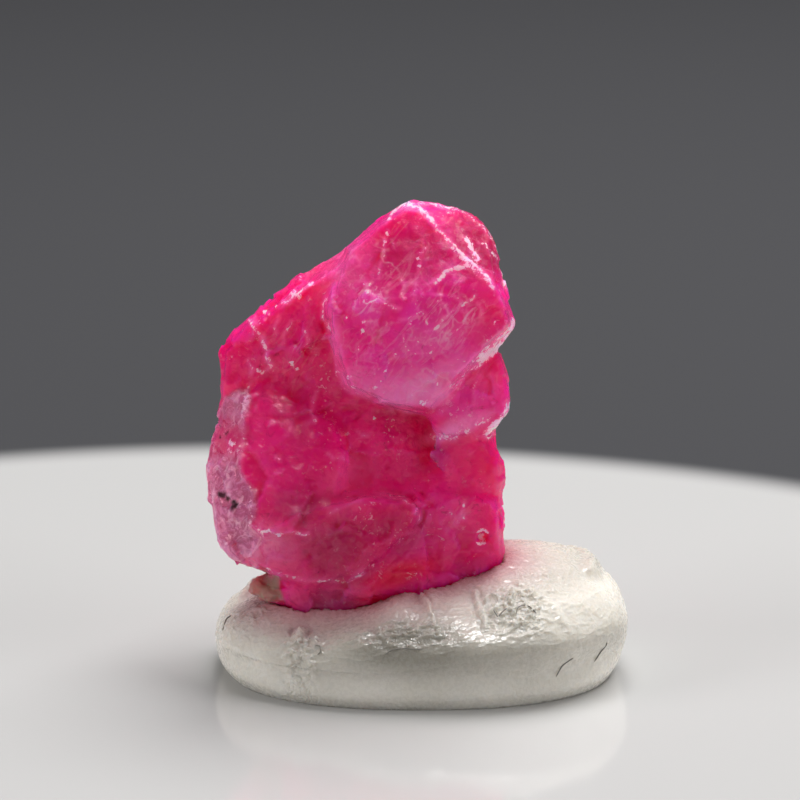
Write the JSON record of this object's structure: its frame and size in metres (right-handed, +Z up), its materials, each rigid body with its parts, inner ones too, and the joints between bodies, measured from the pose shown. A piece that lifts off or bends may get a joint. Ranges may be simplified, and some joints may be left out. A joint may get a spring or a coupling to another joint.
{
  "type": "raw ruby crystal on mounting putty",
  "caption": "Rough red-pink ruby crystal of blocks and ledges grown together, standing upright in a flattened lump of white putty that holds it for display.",
  "frame": {"origin": "the middle of the part's box, on the plane of the putty's flat underside", "axes": "+Z up out of the putty; -Y towards the viewer, where the crystal shows its front; +X to the viewer's right, where the putty rises in a hump"},
  "size_m": [0.0114, 0.0082, 0.0129],
  "materials": {
    "ruby": "glossy, rough fracture faces, milky inside",
    "putty": "matt, wrinkled by hand"
  },
  "bodies": {
    "root": {"ruby_crystal": "ruby", "mounting_putty": "putty"}
  },
  "joints": []
}
